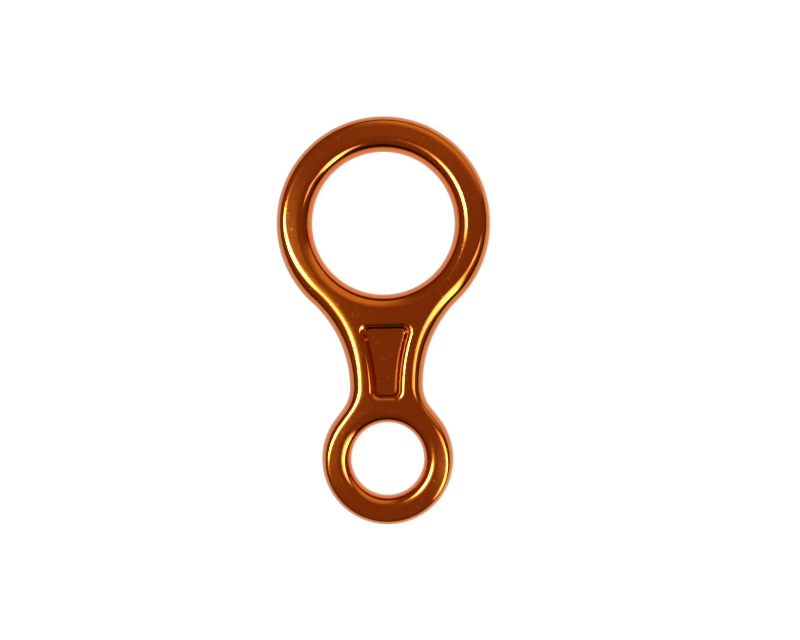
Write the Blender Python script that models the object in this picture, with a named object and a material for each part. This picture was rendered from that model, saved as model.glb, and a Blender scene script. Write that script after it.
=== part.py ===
"""Figure eight descender, a single forging in anodised aluminium alloy.

The body lies flat with its front face up. Y runs along it, towards the large ring, X across it and Z
through its thickness. The origin is the middle of its underside. Everything is in metres.

In plan the outline is a chain of tangent arcs: the large ring, two hollow arcs that meet at the waist, and
the small ring. Both bores have rounded lips, for the rope and the connector. The outer edge is rounded all
the way round, most broadly on the shoulders where the large ring runs into the neck. Each face has a tapered
pocket in the neck, whose long drafted wall drops in two steps.
"""

import math
from collections import namedtuple

import bmesh
import bpy

# Rings and neck
LARGE_BORE_RADIUS = 0.0254
LARGE_RING_WIDTH = 0.0128
SMALL_BORE_RADIUS = 0.0129
SMALL_RING_WIDTH = 0.0106
CENTRE_DISTANCE = 0.0840
THICKNESS = 0.0116
WAIST_WIDTH = 0.0262
WAIST_TO_SMALL_RING = 0.0024
LOWER_NECK_RADIUS = 0.0129

# Rounded lips and outer edge: widths in plan, the upright band left in the small lip and the least flat face
LARGE_LIP_WIDTH = 0.0054
SMALL_LIP_WIDTH = 0.0051
SMALL_LIP_LAND = 0.0003
CROWN_EDGE_WIDTH = 0.0039
SHOULDER_EDGE_WIDTH = 0.0068
WAIST_EDGE_WIDTH = 0.0052
FLANK_EDGE_WIDTH = 0.0043
FOOT_EDGE_WIDTH = 0.0028
LEAST_FLAT = 0.0005

# Roundings are superellipses: the power of the run in from the wall, then that of the rise to the face
EDGE_ROUNDING = (2.5, 1.95)
LARGE_LIP_ROUNDING = (2.0, 1.9)
SMALL_LIP_ROUNDING = (2.6, 2.4)

# Shares of the outline's arcs at which its edge starts to widen after the crown, starts to narrow after the
# shoulder, and has narrowed to the foot's width on the small ring
CROWN_WIDTH_ENDS = 0.62
SHOULDER_WIDTH_ENDS = 0.33
FOOT_WIDTH_STARTS = 0.45

# Pocket in each face of the neck
POCKET_DEPTH = 0.0019
POCKET_RAIL = 0.0066
POCKET_SIDE_RADIUS = 0.0670
POCKET_NARROWEST_BELOW_WAIST = 0.0026
POCKET_TO_LARGE_LIP = 0.0045
POCKET_TO_SMALL_LIP = 0.0020
POCKET_SIDE_WALL = 0.0039
POCKET_TOP_WALL = 0.0031
POCKET_BOTTOM_WALL = 0.0042
BOTTOM_WALL_STEEPENING = 0.05
POCKET_TOP_CORNER = 0.0033
POCKET_BOTTOM_CORNER = 0.0038
POCKET_FLOOR_CORNER = 0.0010
MOST_WALL_IN_POCKET = 0.7
MOST_CORNER_IN_POCKET = 0.9

# The pocket's wall is a long roll with two steps. Each drop is a share of the depth, eased from its start to
# its end along the wall's width.
Drop = namedtuple("Drop", "depth_share start end")
WALL_DROPS = [
    Drop(0.10, 0, 1),
    Drop(0.17, 0, 0.45),
    Drop(0.23, 0.28, 0.45),
    Drop(0.44, 0.53, 0.83),
    Drop(0.06, 0.60, 1),
]

# Finish
ANODISE_COLOUR = (0.72, 0.19, 0.03, 1.0)
ANODISE_ROUGHNESS = 0.25

# Facets
LARGE_RING_STEPS = 28
UPPER_NECK_STEPS = 8
LOWER_NECK_STEPS = 5
SMALL_RING_STEPS = 22
LARGE_BORE_POINTS = 64
SMALL_BORE_POINTS = 48
EDGE_STEPS = 6
LIP_STEPS = 7
CORNER_STEPS = 4
SIDE_STEPS = 8
WALL_STEPS = 14
SAME_POINT = 1e-6

# Sizes that follow from the ones above
HALF_THICKNESS = THICKNESS / 2
HALF_WAIST = WAIST_WIDTH / 2
LARGE_OUTER_RADIUS = LARGE_BORE_RADIUS + LARGE_RING_WIDTH
SMALL_OUTER_RADIUS = SMALL_BORE_RADIUS + SMALL_RING_WIDTH
LENGTH = LARGE_OUTER_RADIUS + CENTRE_DISTANCE + SMALL_OUTER_RADIUS
LARGE_Y = LENGTH / 2 - LARGE_OUTER_RADIUS
SMALL_Y = LARGE_Y - CENTRE_DISTANCE
WAIST_Y = SMALL_Y + SMALL_OUTER_RADIUS + WAIST_TO_SMALL_RING
WIDEST_RING_EDGE = max(CROWN_EDGE_WIDTH, SHOULDER_EDGE_WIDTH)
LARGE_LIP = min(LARGE_LIP_WIDTH, LARGE_RING_WIDTH - WIDEST_RING_EDGE - LEAST_FLAT)
SMALL_LIP = min(SMALL_LIP_WIDTH, SMALL_RING_WIDTH - FLANK_EDGE_WIDTH - LEAST_FLAT)
QUARTER_TURN = math.pi / 2
HALF_TURN = math.pi

# An arc of the outline. The bearings are those of its outward normal, and a hollow arc has a negative radius.
# The edge's rounding eases from its first width to its last between two shares of the arc.
Arc = namedtuple(
    "Arc", "x y radius first last steps first_width last_width change_start change_end", defaults=(0, 0, 0, 1)
)


def clear_scene():
    """Removes whatever the scene starts with."""
    for old in list(bpy.data.objects):
        bpy.data.objects.remove(old)


def blend(start, end, share):
    """The value this share of the way from start to end."""
    return start + (end - start) * share


def smooth(share):
    """Eases a share from 0 to 1, level at both ends and beyond them."""
    share = min(1, max(0, share))
    return share * share * (3 - 2 * share)


def direction(bearing):
    """Unit vector at this bearing, measured from +Y towards +X."""
    return math.sin(bearing), math.cos(bearing)


def there_and_back(right):
    """Closes a right half, which runs from one point on the Y axis to another, with its mirror image."""
    return right + [(-point[0],) + point[1:] for point in right[-2:0:-1]]


def touching_radius(ring_radius, reach):
    """Radius of the waist arc that runs straight into a ring whose centre is this far along."""
    return (HALF_WAIST**2 + reach**2 - ring_radius**2) / (2 * (ring_radius - HALF_WAIST))


def flank_bearing(ring_radius, neck_radius, reach):
    """Bearing of the normal where ring and neck meet, measured from the line from the ring to the waist."""
    across = HALF_WAIST + neck_radius
    gap = math.hypot(across, reach)
    return math.atan2(across, reach) + math.acos(min(1.0, (ring_radius + neck_radius) / gap))


def outline_arcs():
    """Arcs of the outline's right half, from the large ring's end to the small one's.

    The upper hollow arc touches the large ring. A short straight flank joins the lower one to the small ring.
    """
    above = LARGE_Y - WAIST_Y
    below = WAIST_Y - SMALL_Y
    upper = touching_radius(LARGE_OUTER_RADIUS, above)
    lower = min(LOWER_NECK_RADIUS, touching_radius(SMALL_OUTER_RADIUS, below))
    upper_meeting = HALF_TURN - flank_bearing(LARGE_OUTER_RADIUS, upper, above)
    lower_meeting = flank_bearing(SMALL_OUTER_RADIUS, lower, below)
    return [
        Arc(
            0, LARGE_Y, LARGE_OUTER_RADIUS, 0, upper_meeting, LARGE_RING_STEPS,
            CROWN_EDGE_WIDTH, SHOULDER_EDGE_WIDTH, CROWN_WIDTH_ENDS, 1,
        ),
        Arc(
            HALF_WAIST + upper, WAIST_Y, -upper, upper_meeting, QUARTER_TURN, UPPER_NECK_STEPS,
            SHOULDER_EDGE_WIDTH, WAIST_EDGE_WIDTH, SHOULDER_WIDTH_ENDS, 1,
        ),
        Arc(
            HALF_WAIST + lower, WAIST_Y, -lower, QUARTER_TURN, lower_meeting, LOWER_NECK_STEPS,
            WAIST_EDGE_WIDTH, FLANK_EDGE_WIDTH, 0, 1,
        ),
        Arc(
            0, SMALL_Y, SMALL_OUTER_RADIUS, lower_meeting, HALF_TURN, SMALL_RING_STEPS,
            FLANK_EDGE_WIDTH, FOOT_EDGE_WIDTH, 0, FOOT_WIDTH_STARTS,
        ),
    ]


def outline(share):
    """The outline, drawn in by this share of the width of its edge's rounding."""
    right = []
    for arc in outline_arcs():
        for step in range(arc.steps + 1):
            along = step / arc.steps
            changed = smooth((along - arc.change_start) / (arc.change_end - arc.change_start))
            reach = arc.radius - share * blend(arc.first_width, arc.last_width, changed)
            normal = direction(blend(arc.first, arc.last, along))
            point = (arc.x + reach * normal[0], arc.y + reach * normal[1])
            if not right or math.dist(point, right[-1]) > SAME_POINT:
                right.append(point)
    return there_and_back(right)


def circle(centre_y, radius, count):
    """Points round a circle whose centre is on the Y axis."""
    turns = [direction(2 * math.pi * index / count) for index in range(count)]
    return [(x * radius, centre_y + y * radius) for x, y in turns]


def rounded_section(rounding, land, steps):
    """(share of the rounding's width in from the wall, height) up a rounded edge, from back face to front.

    Each corner is a quarter of a superellipse, and the land is the upright band between them.
    """
    inward_power, upward_power = rounding
    rise = HALF_THICKNESS - land / 2
    section = []
    for side in (-1, 1):
        for step in range(steps + 1):
            turn = QUARTER_TURN * (steps - step if side < 0 else step) / steps
            height = HALF_THICKNESS + side * (land / 2 + rise * math.sin(turn) ** (2 / upward_power))
            if not section or height - section[-1][1] > SAME_POINT:
                section.append((1 - max(0, math.cos(turn)) ** (2 / inward_power), height))
    return section


def loft(bm, sections):
    """Skins a stack of closed sections, each a list of points and a height. Returns its end loops."""
    loops = [[bm.verts.new((x, y, height)) for x, y in points] for points, height in sections]
    for lower, upper in zip(loops, loops[1:]):
        for index, corner in enumerate(lower):
            following = (index + 1) % len(lower)
            bm.faces.new((corner, lower[following], upper[following], upper[index]))
    return loops[0], loops[-1]


def outer_edge(bm):
    """The rounded outer edge, all the way round the outline."""
    section = rounded_section(EDGE_ROUNDING, 0, EDGE_STEPS)
    return loft(bm, [(outline(share), height) for share, height in section])


def bore(bm, centre_y, radius, lip, rounding, land, count):
    """A round bore with a rounded lip on both faces."""
    section = rounded_section(rounding, land, LIP_STEPS)
    return loft(bm, [(circle(centre_y, radius + lip * share, count), height) for share, height in section])


def wall_drop(across):
    """Share of the pocket's depth reached at this share of its wall's width."""
    drops = [drop.depth_share * smooth((across - drop.start) / (drop.end - drop.start)) for drop in WALL_DROPS]
    return sum(drops)


def pocket_outline(across):
    """The pocket's wall in plan, from its rim at 0 to the edge of its floor at 1.

    Its ends are square to the body and its sides are hollow arcs, narrowest just below the waist. The bottom
    wall's run is gathered at its ends, so that it is steepest halfway down.
    """
    narrowest = HALF_WAIST - POCKET_RAIL
    side_wall = across * min(POCKET_SIDE_WALL, narrowest * MOST_WALL_IN_POCKET)
    side_x = narrowest + POCKET_SIDE_RADIUS
    side_y = WAIST_Y - POCKET_NARROWEST_BELOW_WAIST
    radius = POCKET_SIDE_RADIUS + side_wall
    top = LARGE_Y - LARGE_BORE_RADIUS - LARGE_LIP - POCKET_TO_LARGE_LIP - across * POCKET_TOP_WALL
    steepened = across + BOTTOM_WALL_STEEPENING * math.sin(2 * math.pi * across)
    bottom = SMALL_Y + SMALL_BORE_RADIUS + SMALL_LIP + POCKET_TO_SMALL_LIP + steepened * POCKET_BOTTOM_WALL
    most_corner = MOST_CORNER_IN_POCKET * (narrowest - side_wall)
    top_corner = blend(POCKET_TOP_CORNER, POCKET_FLOOR_CORNER, across)
    bottom_corner = min(most_corner, blend(POCKET_BOTTOM_CORNER, POCKET_FLOOR_CORNER, across))

    # Each corner touches its end and its side, so its centre is a corner's radius from both.
    top_y = top - top_corner
    top_x = side_x - math.sqrt((radius + top_corner) ** 2 - (top_y - side_y) ** 2)
    top_meeting = math.atan2(side_x - top_x, side_y - top_y)
    bottom_y = bottom + bottom_corner
    bottom_x = side_x - math.sqrt((radius + bottom_corner) ** 2 - (bottom_y - side_y) ** 2)
    bottom_meeting = math.atan2(side_x - bottom_x, side_y - bottom_y)

    arcs = [
        Arc(top_x, top_y, top_corner, 0, top_meeting, CORNER_STEPS),
        Arc(side_x, side_y, -radius, top_meeting, bottom_meeting, SIDE_STEPS),
        Arc(bottom_x, bottom_y, bottom_corner, bottom_meeting, HALF_TURN, CORNER_STEPS),
    ]
    right = [(0, top)]
    for arc in arcs:
        for step in range(arc.steps + 1):
            normal = direction(blend(arc.first, arc.last, step / arc.steps))
            point = (arc.x + arc.radius * normal[0], arc.y + arc.radius * normal[1])
            if math.dist(point, right[-1]) > SAME_POINT:
                right.append(point)
    right.append((0, bottom))
    return there_and_back(right)


def pocket(bm, face_height, inward):
    """A pocket sunk into one face of the neck. Returns its rim and the edge of its floor."""
    sections = []
    for step in range(WALL_STEPS + 1):
        across = step / WALL_STEPS
        depth = POCKET_DEPTH * wall_drop(across)
        sections.append((pocket_outline(across), face_height + inward * depth))
    return loft(bm, sections)


def fill(bm, *loops):
    """Closes a flat region. The first loop is its edge, and the others are its holes."""
    edges = []
    for vertices in loops:
        for index, vertex in enumerate(vertices):
            edges.append(bm.edges.get((vertex, vertices[(index + 1) % len(vertices)])))
    bmesh.ops.triangle_fill(bm, use_beauty=True, use_dissolve=False, edges=edges)


def body_mesh():
    """The whole forging as one closed mesh."""
    bm = bmesh.new()
    back_edge, front_edge = outer_edge(bm)
    back_large, front_large = bore(
        bm, LARGE_Y, LARGE_BORE_RADIUS, LARGE_LIP, LARGE_LIP_ROUNDING, 0, LARGE_BORE_POINTS
    )
    back_small, front_small = bore(
        bm, SMALL_Y, SMALL_BORE_RADIUS, SMALL_LIP, SMALL_LIP_ROUNDING, SMALL_LIP_LAND, SMALL_BORE_POINTS
    )
    back_rim, back_floor = pocket(bm, 0, 1)
    front_rim, front_floor = pocket(bm, THICKNESS, -1)
    fill(bm, back_edge, back_large, back_small, back_rim)
    fill(bm, front_edge, front_large, front_small, front_rim)
    fill(bm, back_floor)
    fill(bm, front_floor)
    bmesh.ops.recalc_face_normals(bm, faces=bm.faces)
    mesh = bpy.data.meshes.new("descender_body")
    bm.to_mesh(mesh)
    bm.free()
    mesh.shade_smooth()
    return mesh


def anodised_aluminium():
    """Orange anodised aluminium alloy, polished before it was dyed."""
    material = bpy.data.materials.new("anodised_aluminium")
    material.use_nodes = True
    shader = material.node_tree.nodes["Principled BSDF"]
    shader.inputs["Base Color"].default_value = ANODISE_COLOUR
    shader.inputs["Metallic"].default_value = 1.0
    shader.inputs["Roughness"].default_value = ANODISE_ROUGHNESS
    material.diffuse_color = ANODISE_COLOUR
    return material


def descender_body():
    """The one piece of the descender."""
    mesh = body_mesh()
    mesh.materials.append(anodised_aluminium())
    body = bpy.data.objects.new("descender_body", mesh)
    bpy.context.scene.collection.objects.link(body)
    return body


clear_scene()
descender_body()
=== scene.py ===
"""A figure eight descender on a white table, in soft studio light and seen from straight above."""
import math
from collections import namedtuple

import bmesh
import bpy
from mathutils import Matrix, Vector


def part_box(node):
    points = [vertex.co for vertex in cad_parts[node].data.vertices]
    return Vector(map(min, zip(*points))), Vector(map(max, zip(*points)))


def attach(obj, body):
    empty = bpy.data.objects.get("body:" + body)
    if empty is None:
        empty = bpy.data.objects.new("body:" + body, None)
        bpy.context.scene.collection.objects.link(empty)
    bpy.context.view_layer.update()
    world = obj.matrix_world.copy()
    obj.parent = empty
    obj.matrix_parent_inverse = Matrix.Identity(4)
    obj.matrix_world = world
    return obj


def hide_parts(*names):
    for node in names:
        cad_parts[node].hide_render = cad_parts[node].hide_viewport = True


# Files and names
BODY_NODE = "descender_body"

# Body, in metres: its length and thickness come from the frame
LARGE_BORE_RADIUS = 0.0254
LARGE_RING_WIDTH = 0.0128
SMALL_BORE_RADIUS = 0.0129
SMALL_RING_WIDTH = 0.0106
WAIST_WIDTH = 0.0262
WAIST_TO_SMALL_RING = 0.0024
LOWER_NECK_RADIUS = 0.0129

# Rounded lips of the two bores and rounded outer edge
LARGE_LIP_WIDTH = 0.0054
SMALL_LIP_WIDTH = 0.0051
SMALL_LIP_LAND = 0.0003
CROWN_EDGE_WIDTH = 0.0039
SHOULDER_EDGE_WIDTH = 0.0068
WAIST_EDGE_WIDTH = 0.0052
FLANK_EDGE_WIDTH = 0.0043
FOOT_EDGE_WIDTH = 0.0028
EDGE_ROUNDING = (2.5, 1.95)
LARGE_LIP_ROUNDING = (2.0, 1.9)
SMALL_LIP_ROUNDING = (2.6, 2.4)

# Shares of the outline's arcs at which its edge starts to widen after the crown, starts to narrow after the
# shoulder, and has narrowed to the foot's width on the small ring
CROWN_WIDTH_ENDS = 0.62
SHOULDER_WIDTH_ENDS = 0.33
FOOT_WIDTH_STARTS = 0.45

# Pocket in each face of the neck
POCKET_DEPTH = 0.0019
POCKET_RAIL = 0.0066
POCKET_SIDE_RADIUS = 0.0670
POCKET_NARROWEST_BELOW_WAIST = 0.0026
POCKET_TO_LARGE_LIP = 0.0045
POCKET_TO_SMALL_LIP = 0.0020
POCKET_SIDE_WALL = 0.0039
POCKET_TOP_WALL = 0.0031
POCKET_BOTTOM_WALL = 0.0042
BOTTOM_WALL_STEEPENING = 0.05
POCKET_TOP_CORNER = 0.0033
POCKET_BOTTOM_CORNER = 0.0038
POCKET_FLOOR_CORNER = 0.0010

# The pocket's wall from rim to floor: a rolled rim, a drop, a narrow ledge, the main drop and a last ledge,
# which meet in crisp creases. A slope takes a share of the wall's width, and falls at a rate that changes
# evenly.
Slope = namedtuple("Slope", "width_share first_fall last_fall")
WALL_SLOPES = [
    Slope(0.30, 0, 1.2),
    Slope(0.10, 1.4, 1.4),
    Slope(0.09, 0.27, 0.27),
    Slope(0.28, 2.2, 2.2),
    Slope(0.23, 0.30, 0),
]
CREASE = math.radians(11)

# Smoothness of the curved surfaces
LARGE_RING_STEPS = 160
UPPER_NECK_STEPS = 56
LOWER_NECK_STEPS = 32
SMALL_RING_STEPS = 120
LARGE_BORE_POINTS = 384
SMALL_BORE_POINTS = 288
EDGE_STEPS = 32
LIP_STEPS = 36
CORNER_STEPS = 20
SIDE_STEPS = 80
SLOPE_STEPS = 10
SAME_POINT = 1e-6

# Anodised finish: colours are linear, scales are per metre, heights in metres
DYE = (0.78, 0.195, 0.014)
DEEP_DYE = (0.74, 0.178, 0.011)
SPECK_COLOUR = (0.90, 0.34, 0.09)
POLISH_ROUGHNESS = (0.07, 0.11)
SPECK_ROUGHNESS = 0.23
SEAL_SHARE = 0.4
SEAL_ROUGHNESS = 0.1
SEAL_IOR = 1.5
DYE_SCALE = 140
DYE_DETAIL = 3
DYE_NOISE_RANGE = (0.35, 0.65)
GRAIN_SCALE = 3200
GRAIN_DETAIL = 2
GRAIN_NOISE_RANGE = (0.3, 0.7)
GRAIN_HEIGHT = 0.0000012
RIPPLE_SCALE = 260
RIPPLE_DETAIL = 1
RIPPLE_HEIGHT = 0.000006
SPECK_SCALE = 2100
SPECK_RADIUS = 0.44
SPECK_SHARE = 0.10

# Camera straight above the table; the body lies turned a little anticlockwise in its picture
CAMERA_DISTANCE = 0.6
CAMERA_X = 0.0053
CAMERA_LENS = 75.6
SENSOR_WIDTH = 36.0
BODY_TURN = math.radians(1.076)

# Table: pale paint, and a glow, where 1 is white, that only the camera and the metal see
FLOOR_REACH = 1.6
FLOOR_DROP = 0.0001
FLOOR_COLOUR = 0.10
FLOOR_GLOW = 0.95
FLOOR_GLOW_IN_METAL = 0.80

# Room: the direction in which it is brightest, its brightest and darkest colours, the power by which it dims
# away from that direction, and the height of a direction below which it darkens towards the horizon
BRIGHTEST_WAY = (-0.100, 0.347, 0.933)
BRIGHTEST_COLOUR = (0.241, 0.110, 0.055)
DARKEST_COLOUR = (0.005, 0.024, 0.012)
SKY_POWER = 0.22
DARK_BELOW = 0.35

# Light panels over the table at their own heights, strengths where 1 is white. Their light keeps only a share
# of its strength where it has been mirrored twice, which is at a ray depth of 2.
LIGHT_MIRRORED_TWICE = 0.25
FULL_STRENGTH_BELOW_DEPTH = 1.5
Panel = namedtuple("Panel", "name x y z width depth turn strength colour softness")
PANELS = [
    Panel("left_softbox", -0.141, 0.006, 0.272, 0.142, 0.160, -0.22, 45.0, (1, 1, 1), 0.058),
    Panel("left_glow", -0.132, -0.008, 0.276, 0.226, 0.228, 0.26, 1.6, (1, 0.95, 0.55), 0.085),
    Panel("right_softbox", 0.122, -0.110, 0.125, 0.106, 0.229, 0.75, 11.0, (1, 1, 1), 0.053),
    Panel("far_right_softbox", 0.162, -0.029, 0.198, 0.066, 0.099, 0.79, 2.6, (1, 1, 1), 0.020),
    Panel("ceiling_panel", 0.864, 0.827, 0.366, 2.2, 1.1, 0.272, 0.75, (1, 0.78, 0.45), 0.22),
]

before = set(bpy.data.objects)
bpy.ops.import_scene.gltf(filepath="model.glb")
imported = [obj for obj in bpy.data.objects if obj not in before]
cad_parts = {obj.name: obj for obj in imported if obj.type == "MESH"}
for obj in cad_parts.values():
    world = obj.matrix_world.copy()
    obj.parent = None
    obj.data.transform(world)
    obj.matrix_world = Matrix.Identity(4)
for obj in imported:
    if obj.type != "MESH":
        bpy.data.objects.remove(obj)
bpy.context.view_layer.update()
low_corner, high_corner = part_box(BODY_NODE)

THICKNESS = high_corner.z - low_corner.z
HALF_THICKNESS = THICKNESS / 2
HALF_WAIST = WAIST_WIDTH / 2
LARGE_OUTER_RADIUS = LARGE_BORE_RADIUS + LARGE_RING_WIDTH
SMALL_OUTER_RADIUS = SMALL_BORE_RADIUS + SMALL_RING_WIDTH
LARGE_Y = high_corner.y - LARGE_OUTER_RADIUS
SMALL_Y = low_corner.y + SMALL_OUTER_RADIUS
WAIST_Y = SMALL_Y + SMALL_OUTER_RADIUS + WAIST_TO_SMALL_RING
QUARTER_TURN = math.pi / 2
HALF_TURN = math.pi
Arc = namedtuple(
    "Arc",
    "x y radius first last steps first_width last_width change_start change_end",
    defaults=(0, 0, 0, 1),
)


def blend(start, end, share):
    return start + (end - start) * share


def smooth(share):
    share = min(1, max(0, share))
    return share * share * (3 - 2 * share)


def direction(bearing):
    return math.sin(bearing), math.cos(bearing)


def there_and_back(right):
    """A closed outline from its right half, which starts and ends on the long axis."""
    return right + [(-point[0],) + point[1:] for point in right[-2:0:-1]]


def along_arcs(arcs, share=0):
    """Points along arcs that join, drawn in by a share of each arc's own width."""
    points = []
    for arc in arcs:
        for step in range(arc.steps + 1):
            along = step / arc.steps
            changed = smooth((along - arc.change_start) / (arc.change_end - arc.change_start))
            reach = arc.radius - share * blend(arc.first_width, arc.last_width, changed)
            normal = direction(blend(arc.first, arc.last, along))
            point = (arc.x + reach * normal[0], arc.y + reach * normal[1])
            if not points or math.dist(point, points[-1]) > SAME_POINT:
                points.append(point)
    return points


def touching_radius(ring_radius, reach):
    """Radius of the waist's arc that touches a ring whose centre lies that far along."""
    return (HALF_WAIST**2 + reach**2 - ring_radius**2) / (2 * (ring_radius - HALF_WAIST))


def flank_bearing(ring_radius, neck_radius, reach):
    """Bearing, from the long axis, at which the outline leaves a ring for the neck."""
    across = HALF_WAIST + neck_radius
    gap = math.hypot(across, reach)
    return math.atan2(across, reach) + math.acos(min(1.0, (ring_radius + neck_radius) / gap))


def outline_arcs():
    """The right half of the outline, from the large ring's crown to the small ring's foot."""
    above = LARGE_Y - WAIST_Y
    below = WAIST_Y - SMALL_Y
    upper = touching_radius(LARGE_OUTER_RADIUS, above)
    lower = min(LOWER_NECK_RADIUS, touching_radius(SMALL_OUTER_RADIUS, below))
    upper_meeting = HALF_TURN - flank_bearing(LARGE_OUTER_RADIUS, upper, above)
    lower_meeting = flank_bearing(SMALL_OUTER_RADIUS, lower, below)
    return [
        Arc(
            0, LARGE_Y, LARGE_OUTER_RADIUS, 0, upper_meeting, LARGE_RING_STEPS,
            CROWN_EDGE_WIDTH, SHOULDER_EDGE_WIDTH, CROWN_WIDTH_ENDS, 1,
        ),
        Arc(
            HALF_WAIST + upper, WAIST_Y, -upper, upper_meeting, QUARTER_TURN, UPPER_NECK_STEPS,
            SHOULDER_EDGE_WIDTH, WAIST_EDGE_WIDTH, SHOULDER_WIDTH_ENDS, 1,
        ),
        Arc(
            HALF_WAIST + lower, WAIST_Y, -lower, QUARTER_TURN, lower_meeting, LOWER_NECK_STEPS,
            WAIST_EDGE_WIDTH, FLANK_EDGE_WIDTH, 0, 1,
        ),
        Arc(
            0, SMALL_Y, SMALL_OUTER_RADIUS, lower_meeting, HALF_TURN, SMALL_RING_STEPS,
            FLANK_EDGE_WIDTH, FOOT_EDGE_WIDTH, 0, FOOT_WIDTH_STARTS,
        ),
    ]


def outline(share):
    """The outline drawn in by a share of its edge's width, which is greatest at the shoulders."""
    return there_and_back(along_arcs(outline_arcs(), share))


def circle(centre_y, radius, count):
    turns = [direction(2 * math.pi * index / count) for index in range(count)]
    return [(x * radius, centre_y + y * radius) for x, y in turns]


def rounded_section(rounding, land, steps):
    """Shares of the rounding's width and heights, from the back face round to the front face.

    Each corner is a superellipse: its two powers are 2 for an ellipse, and more for a flatter start.
    """
    inward_power, upward_power = rounding
    rise = HALF_THICKNESS - land / 2
    section = []
    for side in (-1, 1):
        for step in range(steps + 1):
            turn = QUARTER_TURN * (steps - step if side < 0 else step) / steps
            height = HALF_THICKNESS + side * (land / 2 + rise * math.sin(turn) ** (2 / upward_power))
            if not section or height - section[-1][1] > SAME_POINT:
                section.append((1 - max(0, math.cos(turn)) ** (2 / inward_power), height))
    return section


def loft(bm, sections):
    loops = [[bm.verts.new((x, y, height)) for x, y in points] for points, height in sections]
    for lower, upper in zip(loops, loops[1:]):
        for index, corner in enumerate(lower):
            following = (index + 1) % len(lower)
            bm.faces.new((corner, lower[following], upper[following], upper[index]))
    return loops[0], loops[-1]


def outer_edge(bm):
    section = rounded_section(EDGE_ROUNDING, 0, EDGE_STEPS)
    return loft(bm, [(outline(share), height) for share, height in section])


def bore(bm, centre_y, radius, lip, rounding, land, count):
    section = rounded_section(rounding, land, LIP_STEPS)
    return loft(bm, [(circle(centre_y, radius + lip * share, count), height) for share, height in section])


def corner_on_side(side_x, side_y, distance, y):
    """X of a corner's centre, that far from the bowed side's centre, and the bearing at which they meet."""
    x = side_x - math.sqrt(distance**2 - (y - side_y) ** 2)
    return x, math.atan2(side_x - x, side_y - y)


def pocket_outline(across):
    """The pocket's outline that far across its wall, from rim to floor: bowed sides and rounded corners."""
    narrowest = HALF_WAIST - POCKET_RAIL
    side_wall = across * POCKET_SIDE_WALL
    side_x = narrowest + POCKET_SIDE_RADIUS
    side_y = WAIST_Y - POCKET_NARROWEST_BELOW_WAIST
    radius = POCKET_SIDE_RADIUS + side_wall
    top = LARGE_Y - LARGE_BORE_RADIUS - LARGE_LIP_WIDTH - POCKET_TO_LARGE_LIP - across * POCKET_TOP_WALL
    steepened = across + BOTTOM_WALL_STEEPENING * math.sin(2 * math.pi * across)
    bottom_rim = SMALL_Y + SMALL_BORE_RADIUS + SMALL_LIP_WIDTH + POCKET_TO_SMALL_LIP
    bottom = bottom_rim + steepened * POCKET_BOTTOM_WALL
    top_corner = blend(POCKET_TOP_CORNER, POCKET_FLOOR_CORNER, across)
    bottom_corner = blend(POCKET_BOTTOM_CORNER, POCKET_FLOOR_CORNER, across)
    top_y = top - top_corner
    top_x, top_meeting = corner_on_side(side_x, side_y, radius + top_corner, top_y)
    bottom_y = bottom + bottom_corner
    bottom_x, bottom_meeting = corner_on_side(side_x, side_y, radius + bottom_corner, bottom_y)
    arcs = [
        Arc(top_x, top_y, top_corner, 0, top_meeting, CORNER_STEPS),
        Arc(side_x, side_y, -radius, top_meeting, bottom_meeting, SIDE_STEPS),
        Arc(bottom_x, bottom_y, bottom_corner, bottom_meeting, HALF_TURN, CORNER_STEPS),
    ]
    return there_and_back([(0, top)] + along_arcs(arcs) + [(0, bottom)])


def pocket(bm, face_height, inward):
    """A pocket's wall, section by section, each as deep as the slopes up to its place have fallen."""
    whole_fall = sum(slope.width_share * (slope.first_fall + slope.last_fall) / 2 for slope in WALL_SLOPES)
    across = fallen = 0
    sections = [(pocket_outline(across), face_height)]
    for slope in WALL_SLOPES:
        stride = slope.width_share / SLOPE_STEPS
        for step in range(SLOPE_STEPS):
            across += stride
            fallen += stride * blend(slope.first_fall, slope.last_fall, (step + 0.5) / SLOPE_STEPS)
            depth = POCKET_DEPTH * fallen / whole_fall
            sections.append((pocket_outline(across), face_height + inward * depth))
    return loft(bm, sections)


def fill(bm, *loops):
    """Flat face inside the first loop and outside the others."""
    edges = []
    for vertices in loops:
        for index, vertex in enumerate(vertices):
            edges.append(bm.edges.get((vertex, vertices[(index + 1) % len(vertices)])))
    bmesh.ops.triangle_fill(bm, use_beauty=True, use_dissolve=False, edges=edges)


def body_mesh():
    bm = bmesh.new()
    back_edge, front_edge = outer_edge(bm)
    back_large, front_large = bore(
        bm, LARGE_Y, LARGE_BORE_RADIUS, LARGE_LIP_WIDTH, LARGE_LIP_ROUNDING, 0, LARGE_BORE_POINTS
    )
    back_small, front_small = bore(
        bm, SMALL_Y, SMALL_BORE_RADIUS, SMALL_LIP_WIDTH, SMALL_LIP_ROUNDING, SMALL_LIP_LAND, SMALL_BORE_POINTS
    )
    back_rim, back_floor = pocket(bm, 0, 1)
    front_rim, front_floor = pocket(bm, THICKNESS, -1)
    fill(bm, back_edge, back_large, back_small, back_rim)
    fill(bm, front_edge, front_large, front_small, front_rim)
    fill(bm, back_floor)
    fill(bm, front_floor)
    bmesh.ops.recalc_face_normals(bm, faces=bm.faces)
    mesh = bpy.data.meshes.new("descender")
    bm.to_mesh(mesh)
    bm.free()
    mesh.shade_smooth()
    mesh.set_sharp_from_angle(angle=CREASE)
    return mesh


def add_node(tree, kind, inputs=None, **settings):
    """A shader node with its settings, and its inputs set to values or linked to other nodes' outputs."""
    node = tree.nodes.new(kind)
    for name, value in settings.items():
        setattr(node, name, value)
    for name, value in (inputs or {}).items():
        if isinstance(value, bpy.types.NodeSocket):
            tree.links.new(value, node.inputs[name])
        else:
            node.inputs[name].default_value = value
    return node


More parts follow.
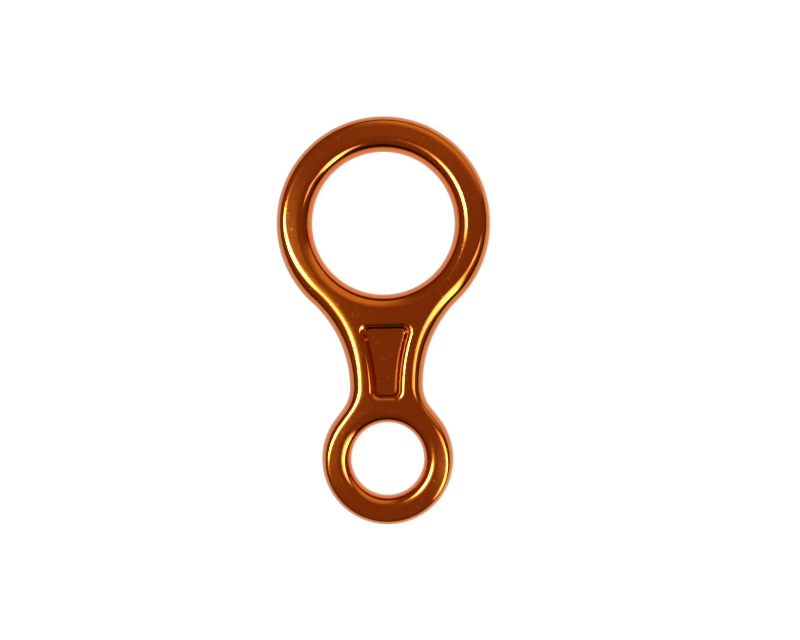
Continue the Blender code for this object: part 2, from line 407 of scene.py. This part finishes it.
def new_material(name):
    material = bpy.data.materials.new(name)
    material.use_nodes = True
    material.node_tree.nodes.clear()
    return material, material.node_tree


def noise(tree, place, scale, detail):
    inputs = {"Vector": place, "Scale": scale, "Detail": detail}
    return add_node(tree, "ShaderNodeTexNoise", inputs).outputs["Fac"]


def remap(tree, value, source, target):
    inputs = {
        "Value": value,
        "From Min": source[0],
        "From Max": source[1],
        "To Min": target[0],
        "To Max": target[1],
    }
    return add_node(tree, "ShaderNodeMapRange", inputs).outputs["Result"]


def mix_colour(tree, share, first, second):
    node = add_node(tree, "ShaderNodeMix", data_type="RGBA")
    for name, value in (("A_Color", first), ("B_Color", second)):
        socket = next(s for s in node.inputs if s.identifier == name)
        if isinstance(value, bpy.types.NodeSocket):
            tree.links.new(value, socket)
        else:
            socket.default_value = (*value, 1)
    tree.links.new(share, node.inputs[0])
    return next(s for s in node.outputs if s.identifier == "Result_Color")


def combine(tree, operation, first, second=0):
    node = add_node(tree, "ShaderNodeMath", operation=operation)
    for socket, value in zip(node.inputs, (first, second)):
        if isinstance(value, bpy.types.NodeSocket):
            tree.links.new(value, socket)
        else:
            socket.default_value = value
    return node.outputs["Value"]


def specks(tree, place):
    """1 on the scattered pin-point marks of the finish and 0 elsewhere."""
    cells = add_node(tree, "ShaderNodeTexVoronoi", {"Vector": place, "Scale": SPECK_SCALE})
    pick = add_node(tree, "ShaderNodeSeparateColor", {"Color": cells.outputs["Color"]})
    chosen = combine(tree, "LESS_THAN", pick.outputs["Red"], SPECK_SHARE)
    radius = combine(tree, "MULTIPLY", pick.outputs["Green"], SPECK_RADIUS)
    inside = combine(tree, "LESS_THAN", cells.outputs["Distance"], radius)
    return combine(tree, "MULTIPLY", chosen, inside)


def anodised_aluminium():
    """Polished aluminium dyed orange under a clear seal, with a satin grain, slow ripples and fine marks."""
    material, tree = new_material("anodised_aluminium")
    place = add_node(tree, "ShaderNodeTexCoord").outputs["Object"]
    marks = specks(tree, place)
    grain = noise(tree, place, GRAIN_SCALE, GRAIN_DETAIL)
    ripple = noise(tree, place, RIPPLE_SCALE, RIPPLE_DETAIL)
    paleness = remap(tree, noise(tree, place, DYE_SCALE, DYE_DETAIL), DYE_NOISE_RANGE, (0, 1))
    dye = mix_colour(tree, paleness, DEEP_DYE, DYE)
    colour = mix_colour(tree, marks, dye, SPECK_COLOUR)
    polish = remap(tree, grain, GRAIN_NOISE_RANGE, POLISH_ROUGHNESS)
    roughness = combine(tree, "MAXIMUM", polish, combine(tree, "MULTIPLY", marks, SPECK_ROUGHNESS))
    waves = add_node(tree, "ShaderNodeBump", {"Height": ripple, "Distance": RIPPLE_HEIGHT})
    bump = {"Height": grain, "Distance": GRAIN_HEIGHT, "Normal": waves.outputs["Normal"]}
    surface = add_node(tree, "ShaderNodeBump", bump).outputs["Normal"]
    settings = {
        "Base Color": colour,
        "Metallic": 1.0,
        "Roughness": roughness,
        "Normal": surface,
        "Coat Weight": SEAL_SHARE,
        "Coat Roughness": SEAL_ROUGHNESS,
        "Coat IOR": SEAL_IOR,
    }
    shader = add_node(tree, "ShaderNodeBsdfPrincipled", settings)
    add_node(tree, "ShaderNodeOutputMaterial", {"Surface": shader.outputs["BSDF"]})
    return material


def descender():
    body = bpy.data.objects.new("descender", body_mesh())
    bpy.context.scene.collection.objects.link(body)
    body.data.materials.append(anodised_aluminium())
    faces = body.modifiers.new("even_faces", "WEIGHTED_NORMAL")
    faces.mode = "FACE_AREA"
    faces.keep_sharp = True
    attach(body, "root")
    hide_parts(BODY_NODE)


def table_glow(tree):
    """How brightly the table shows itself to the camera and, a little less, in the object's metal."""
    path = add_node(tree, "ShaderNodeLightPath")
    mirrored = combine(tree, "MAXIMUM", path.outputs["Is Glossy Ray"], path.outputs["Is Transmission Ray"])
    in_metal = combine(tree, "MULTIPLY", mirrored, FLOOR_GLOW_IN_METAL)
    direct = combine(tree, "MULTIPLY", path.outputs["Is Camera Ray"], FLOOR_GLOW)
    return combine(tree, "MAXIMUM", direct, in_metal)


def flat_sheet(name, width, depth):
    mesh = bpy.data.meshes.new(name)
    x, y = width / 2, depth / 2
    mesh.from_pydata([(-x, -y, 0), (x, -y, 0), (x, y, 0), (-x, y, 0)], [], [(0, 1, 2, 3)])
    sheet = bpy.data.objects.new(name, mesh)
    bpy.context.scene.collection.objects.link(sheet)
    return sheet


def floor_material():
    """White that glows evenly where it is seen, under a thin coat of plain paint that keeps the shadow."""
    material, tree = new_material("white_table")
    paint = add_node(tree, "ShaderNodeBsdfDiffuse", {"Color": (FLOOR_COLOUR,) * 3 + (1,)})
    glow = add_node(tree, "ShaderNodeEmission", {"Strength": table_glow(tree)})
    surface = add_node(tree, "ShaderNodeAddShader", {0: paint.outputs["BSDF"], 1: glow.outputs["Emission"]})
    add_node(tree, "ShaderNodeOutputMaterial", {"Surface": surface.outputs["Shader"]})
    return material


def floor():
    sheet = flat_sheet("table", FLOOR_REACH * 2, FLOOR_REACH * 2)
    sheet.location.z = low_corner.z - FLOOR_DROP
    sheet.data.materials.append(floor_material())


def edge_fade(tree, coordinate, half, softness):
    """1 well inside a panel and 0 at its edge, smoothly."""
    inside = combine(tree, "SUBTRACT", half, combine(tree, "ABSOLUTE", coordinate))
    inputs = {"Value": inside, "From Max": softness}
    return add_node(tree, "ShaderNodeMapRange", inputs, interpolation_type="SMOOTHSTEP").outputs["Result"]


def panel_material(panel):
    material, tree = new_material(panel.name)
    place = add_node(tree, "ShaderNodeTexCoord").outputs["Object"]
    axes = add_node(tree, "ShaderNodeSeparateXYZ", {"Vector": place})
    across = edge_fade(tree, axes.outputs["X"], panel.width / 2, panel.softness)
    along = edge_fade(tree, axes.outputs["Y"], panel.depth / 2, panel.softness)
    share = combine(tree, "MULTIPLY", across, along)
    depth = add_node(tree, "ShaderNodeLightPath").outputs["Ray Depth"]
    mirrored_once = combine(tree, "LESS_THAN", depth, FULL_STRENGTH_BELOW_DEPTH)
    strength = remap(tree, mirrored_once, (0, 1), (panel.strength * LIGHT_MIRRORED_TWICE, panel.strength))
    glow = add_node(tree, "ShaderNodeEmission", {"Color": (*panel.colour, 1), "Strength": strength})
    clear = add_node(tree, "ShaderNodeBsdfTransparent")
    blended = {0: share, 1: clear.outputs["BSDF"], 2: glow.outputs["Emission"]}
    surface = add_node(tree, "ShaderNodeMixShader", blended)
    add_node(tree, "ShaderNodeOutputMaterial", {"Surface": surface.outputs["Shader"]})
    return material


def light_panel(panel):
    sheet = flat_sheet(panel.name, panel.width, panel.depth)
    sheet.location = (panel.x, panel.y, panel.z)
    sheet.rotation_euler.z = panel.turn
    sheet.data.materials.append(panel_material(panel))
    sheet.visible_camera = False
    sheet.visible_shadow = False


def surroundings():
    """A plain dim room, brightest a little beyond the object's head and dark towards the horizon.

    The camera sees it as pale as the table.
    """
    world = bpy.data.worlds.new("room")
    world.use_nodes = True
    tree = world.node_tree
    tree.nodes.clear()
    direction_seen = add_node(tree, "ShaderNodeTexCoord").outputs["Generated"]
    ways = {0: direction_seen, 1: BRIGHTEST_WAY}
    towards = add_node(tree, "ShaderNodeVectorMath", ways, operation="DOT_PRODUCT")
    nearness = combine(tree, "MAXIMUM", towards.outputs["Value"], 0.0)
    height = add_node(tree, "ShaderNodeSeparateXYZ", {"Vector": direction_seen}).outputs["Z"]
    lit = remap(tree, height, (0, DARK_BELOW), (0, 1))
    brightness = combine(tree, "MULTIPLY", combine(tree, "POWER", nearness, SKY_POWER), lit)
    colour = mix_colour(tree, brightness, DARKEST_COLOUR, BRIGHTEST_COLOUR)
    seen = add_node(tree, "ShaderNodeLightPath").outputs["Is Camera Ray"]
    shown = mix_colour(tree, seen, colour, (FLOOR_GLOW,) * 3)
    room = add_node(tree, "ShaderNodeBackground", {"Color": shown})
    add_node(tree, "ShaderNodeOutputWorld", {"Surface": room.outputs["Background"]})
    bpy.context.scene.world = world


def camera():
    data = bpy.data.cameras.new("camera")
    data.lens = CAMERA_LENS
    data.sensor_width = SENSOR_WIDTH
    view = bpy.data.objects.new("camera", data)
    view.location = (CAMERA_X, 0, low_corner.z + HALF_THICKNESS + CAMERA_DISTANCE)
    view.rotation_euler.z = -BODY_TURN
    bpy.context.scene.collection.objects.link(view)
    bpy.context.scene.camera = view


bpy.context.scene.view_settings.view_transform = "Standard"
camera()
descender()
floor()
surroundings()
for panel in PANELS:
    light_panel(panel)
